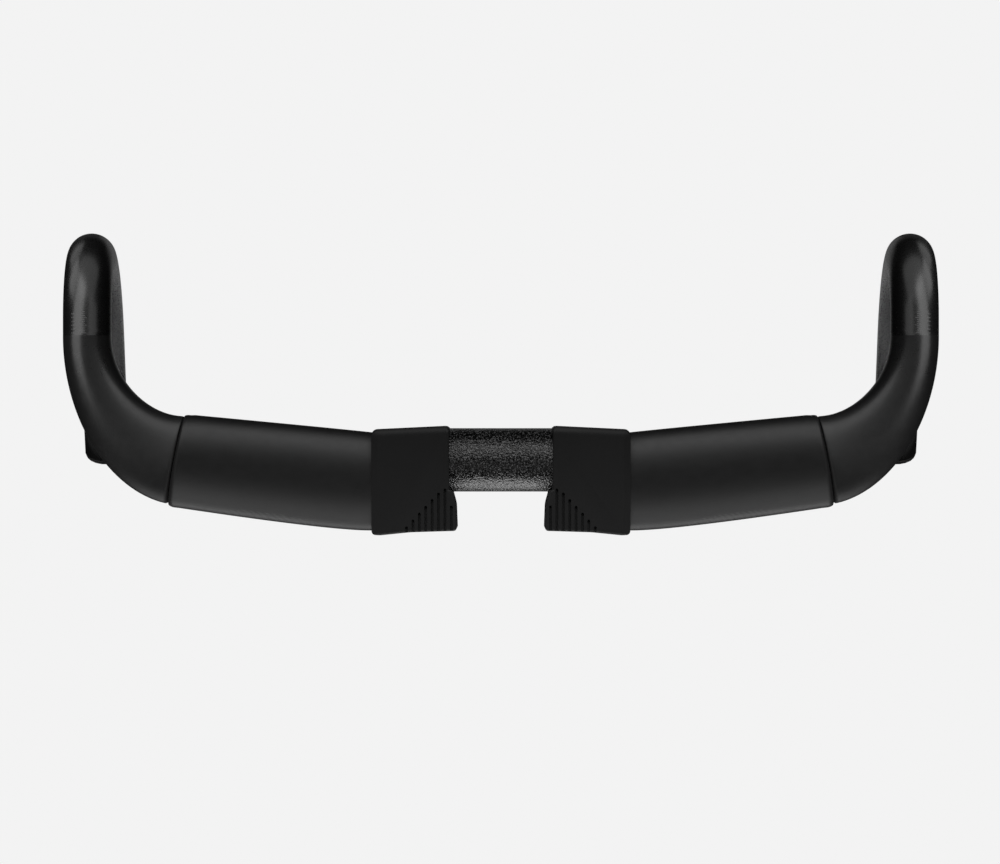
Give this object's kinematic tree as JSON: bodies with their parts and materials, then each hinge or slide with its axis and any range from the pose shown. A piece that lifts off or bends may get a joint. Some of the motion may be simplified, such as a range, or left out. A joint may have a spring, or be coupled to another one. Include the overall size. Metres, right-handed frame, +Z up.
{
  "type": "drop handlebar",
  "caption": "Drop handlebar with a flat aero wing, forward-swept bends, gently flared drops, covers beside the round stem clamp and expander end plugs.",
  "frame": {"origin": "centre of the round stem clamp, on the clamp's axis", "axes": "+X to the rider's right along the clamp's axis, +Y forward, +Z up, with the hoods level"},
  "size_m": [0.467, 0.1534, 0.1622],
  "materials": {
    "carbon_bar": "matt black paint on the wing and bends, satin bare finish on the clamp and the hooks",
    "cover_plastic": "very matt black moulded plastic",
    "grommet_rubber": "black rubber",
    "plug_plastic": "matt black nylon",
    "plug_aluminium": "turned aluminium",
    "screw_steel": "dark zinc-plated steel",
    "insert_brass": "knurled brass"
  },
  "bodies": {
    "bar": {"centre_wing": "carbon_bar", "right_drop": "carbon_bar", "right_exit_grommet": "grommet_rubber", "right_entry_grommet": "grommet_rubber", "left_drop": "carbon_bar", "left_exit_grommet": "grommet_rubber", "left_entry_grommet": "grommet_rubber"},
    "right_upper_cover": {"right_upper_cover": "cover_plastic", "right_threaded_insert": "insert_brass"},
    "right_lower_cover": {"right_lower_cover": "cover_plastic"},
    "right_screw_washer": {"right_screw_washer": "screw_steel"},
    "right_cover_screw": {"right_cover_screw": "screw_steel"},
    "right_plug": {"right_plug_cap": "plug_plastic", "right_plug_sleeve": "grommet_rubber"},
    "right_plug_screw": {"right_plug_screw": "screw_steel"},
    "right_plug_cone": {"right_plug_cone": "plug_aluminium"},
    "left_upper_cover": {"left_upper_cover": "cover_plastic", "left_threaded_insert": "insert_brass"},
    "left_lower_cover": {"left_lower_cover": "cover_plastic"},
    "left_screw_washer": {"left_screw_washer": "screw_steel"},
    "left_cover_screw": {"left_cover_screw": "screw_steel"},
    "left_plug": {"left_plug_cap": "plug_plastic", "left_plug_sleeve": "grommet_rubber"},
    "left_plug_screw": {"left_plug_screw": "screw_steel"},
    "left_plug_cone": {"left_plug_cone": "plug_aluminium"}
  },
  "joints": [
    {"name": "right_upper_cover_lift", "type": "slide", "parent": "bar", "child": "right_upper_cover", "axis": [0, 0, 1], "range_m": [0, 0.05]},
    {"name": "right_lower_cover_drop", "type": "slide", "parent": "bar", "child": "right_lower_cover", "axis": [0, 0, -1], "range_m": [0, 0.05]},
    {"name": "right_screw_washer_travel", "type": "slide", "parent": "right_lower_cover", "child": "right_screw_washer", "axis": [0, 0, -1], "range_m": [0, 0.005]},
    {"name": "right_cover_screw_turn", "type": "hinge", "parent": "right_screw_washer", "child": "right_cover_screw", "pos_m": [0.036, -0.0296, -0.0088], "axis": [0, 0, -1], "range_deg": [0, 3600]},
    {"name": "right_plug_slide", "type": "slide", "parent": "bar", "child": "right_plug", "axis": [0.0549, -0.8563, -0.5136], "range_m": [0, 0.045]},
    {"name": "right_plug_screw_turn", "type": "hinge", "parent": "right_plug", "child": "right_plug_screw", "pos_m": [0.2215, 0.00406, -0.13259], "axis": [0.0549, -0.8563, -0.5136], "range_deg": [0, 1080]},
    {"name": "right_plug_cone_travel", "type": "slide", "parent": "right_plug", "child": "right_plug_cone", "axis": [-0.0549, 0.8563, 0.5136], "range_m": [0, 0.0024]},
    {"name": "left_upper_cover_lift", "type": "slide", "parent": "bar", "child": "left_upper_cover", "axis": [0, 0, 1], "range_m": [0, 0.05]},
    {"name": "left_lower_cover_drop", "type": "slide", "parent": "bar", "child": "left_lower_cover", "axis": [0, 0, -1], "range_m": [0, 0.05]},
    {"name": "left_screw_washer_travel", "type": "slide", "parent": "left_lower_cover", "child": "left_screw_washer", "axis": [0, 0, -1], "range_m": [0, 0.005]},
    {"name": "left_cover_screw_turn", "type": "hinge", "parent": "left_screw_washer", "child": "left_cover_screw", "pos_m": [-0.036, -0.0296, -0.0088], "axis": [0, 0, -1], "range_deg": [0, 3600]},
    {"name": "left_plug_slide", "type": "slide", "parent": "bar", "child": "left_plug", "axis": [-0.0549, -0.8563, -0.5136], "range_m": [0, 0.045]},
    {"name": "left_plug_screw_turn", "type": "hinge", "parent": "left_plug", "child": "left_plug_screw", "pos_m": [-0.2215, 0.00406, -0.13259], "axis": [-0.0549, -0.8563, -0.5136], "range_deg": [0, 1080]},
    {"name": "left_plug_cone_travel", "type": "slide", "parent": "left_plug", "child": "left_plug_cone", "axis": [0.0549, 0.8563, 0.5136], "range_m": [0, 0.0024]}
  ],
  "couplings": [
    {"joint": "right_cover_screw_turn", "follows": "right_screw_washer_travel", "rad_per_m": 12565},
    {"joint": "right_plug_screw_turn", "follows": "right_plug_cone_travel", "rad_per_m": 7853.2},
    {"joint": "left_cover_screw_turn", "follows": "left_screw_washer_travel", "rad_per_m": 12565},
    {"joint": "left_plug_screw_turn", "follows": "left_plug_cone_travel", "rad_per_m": 7853.2}
  ]
}
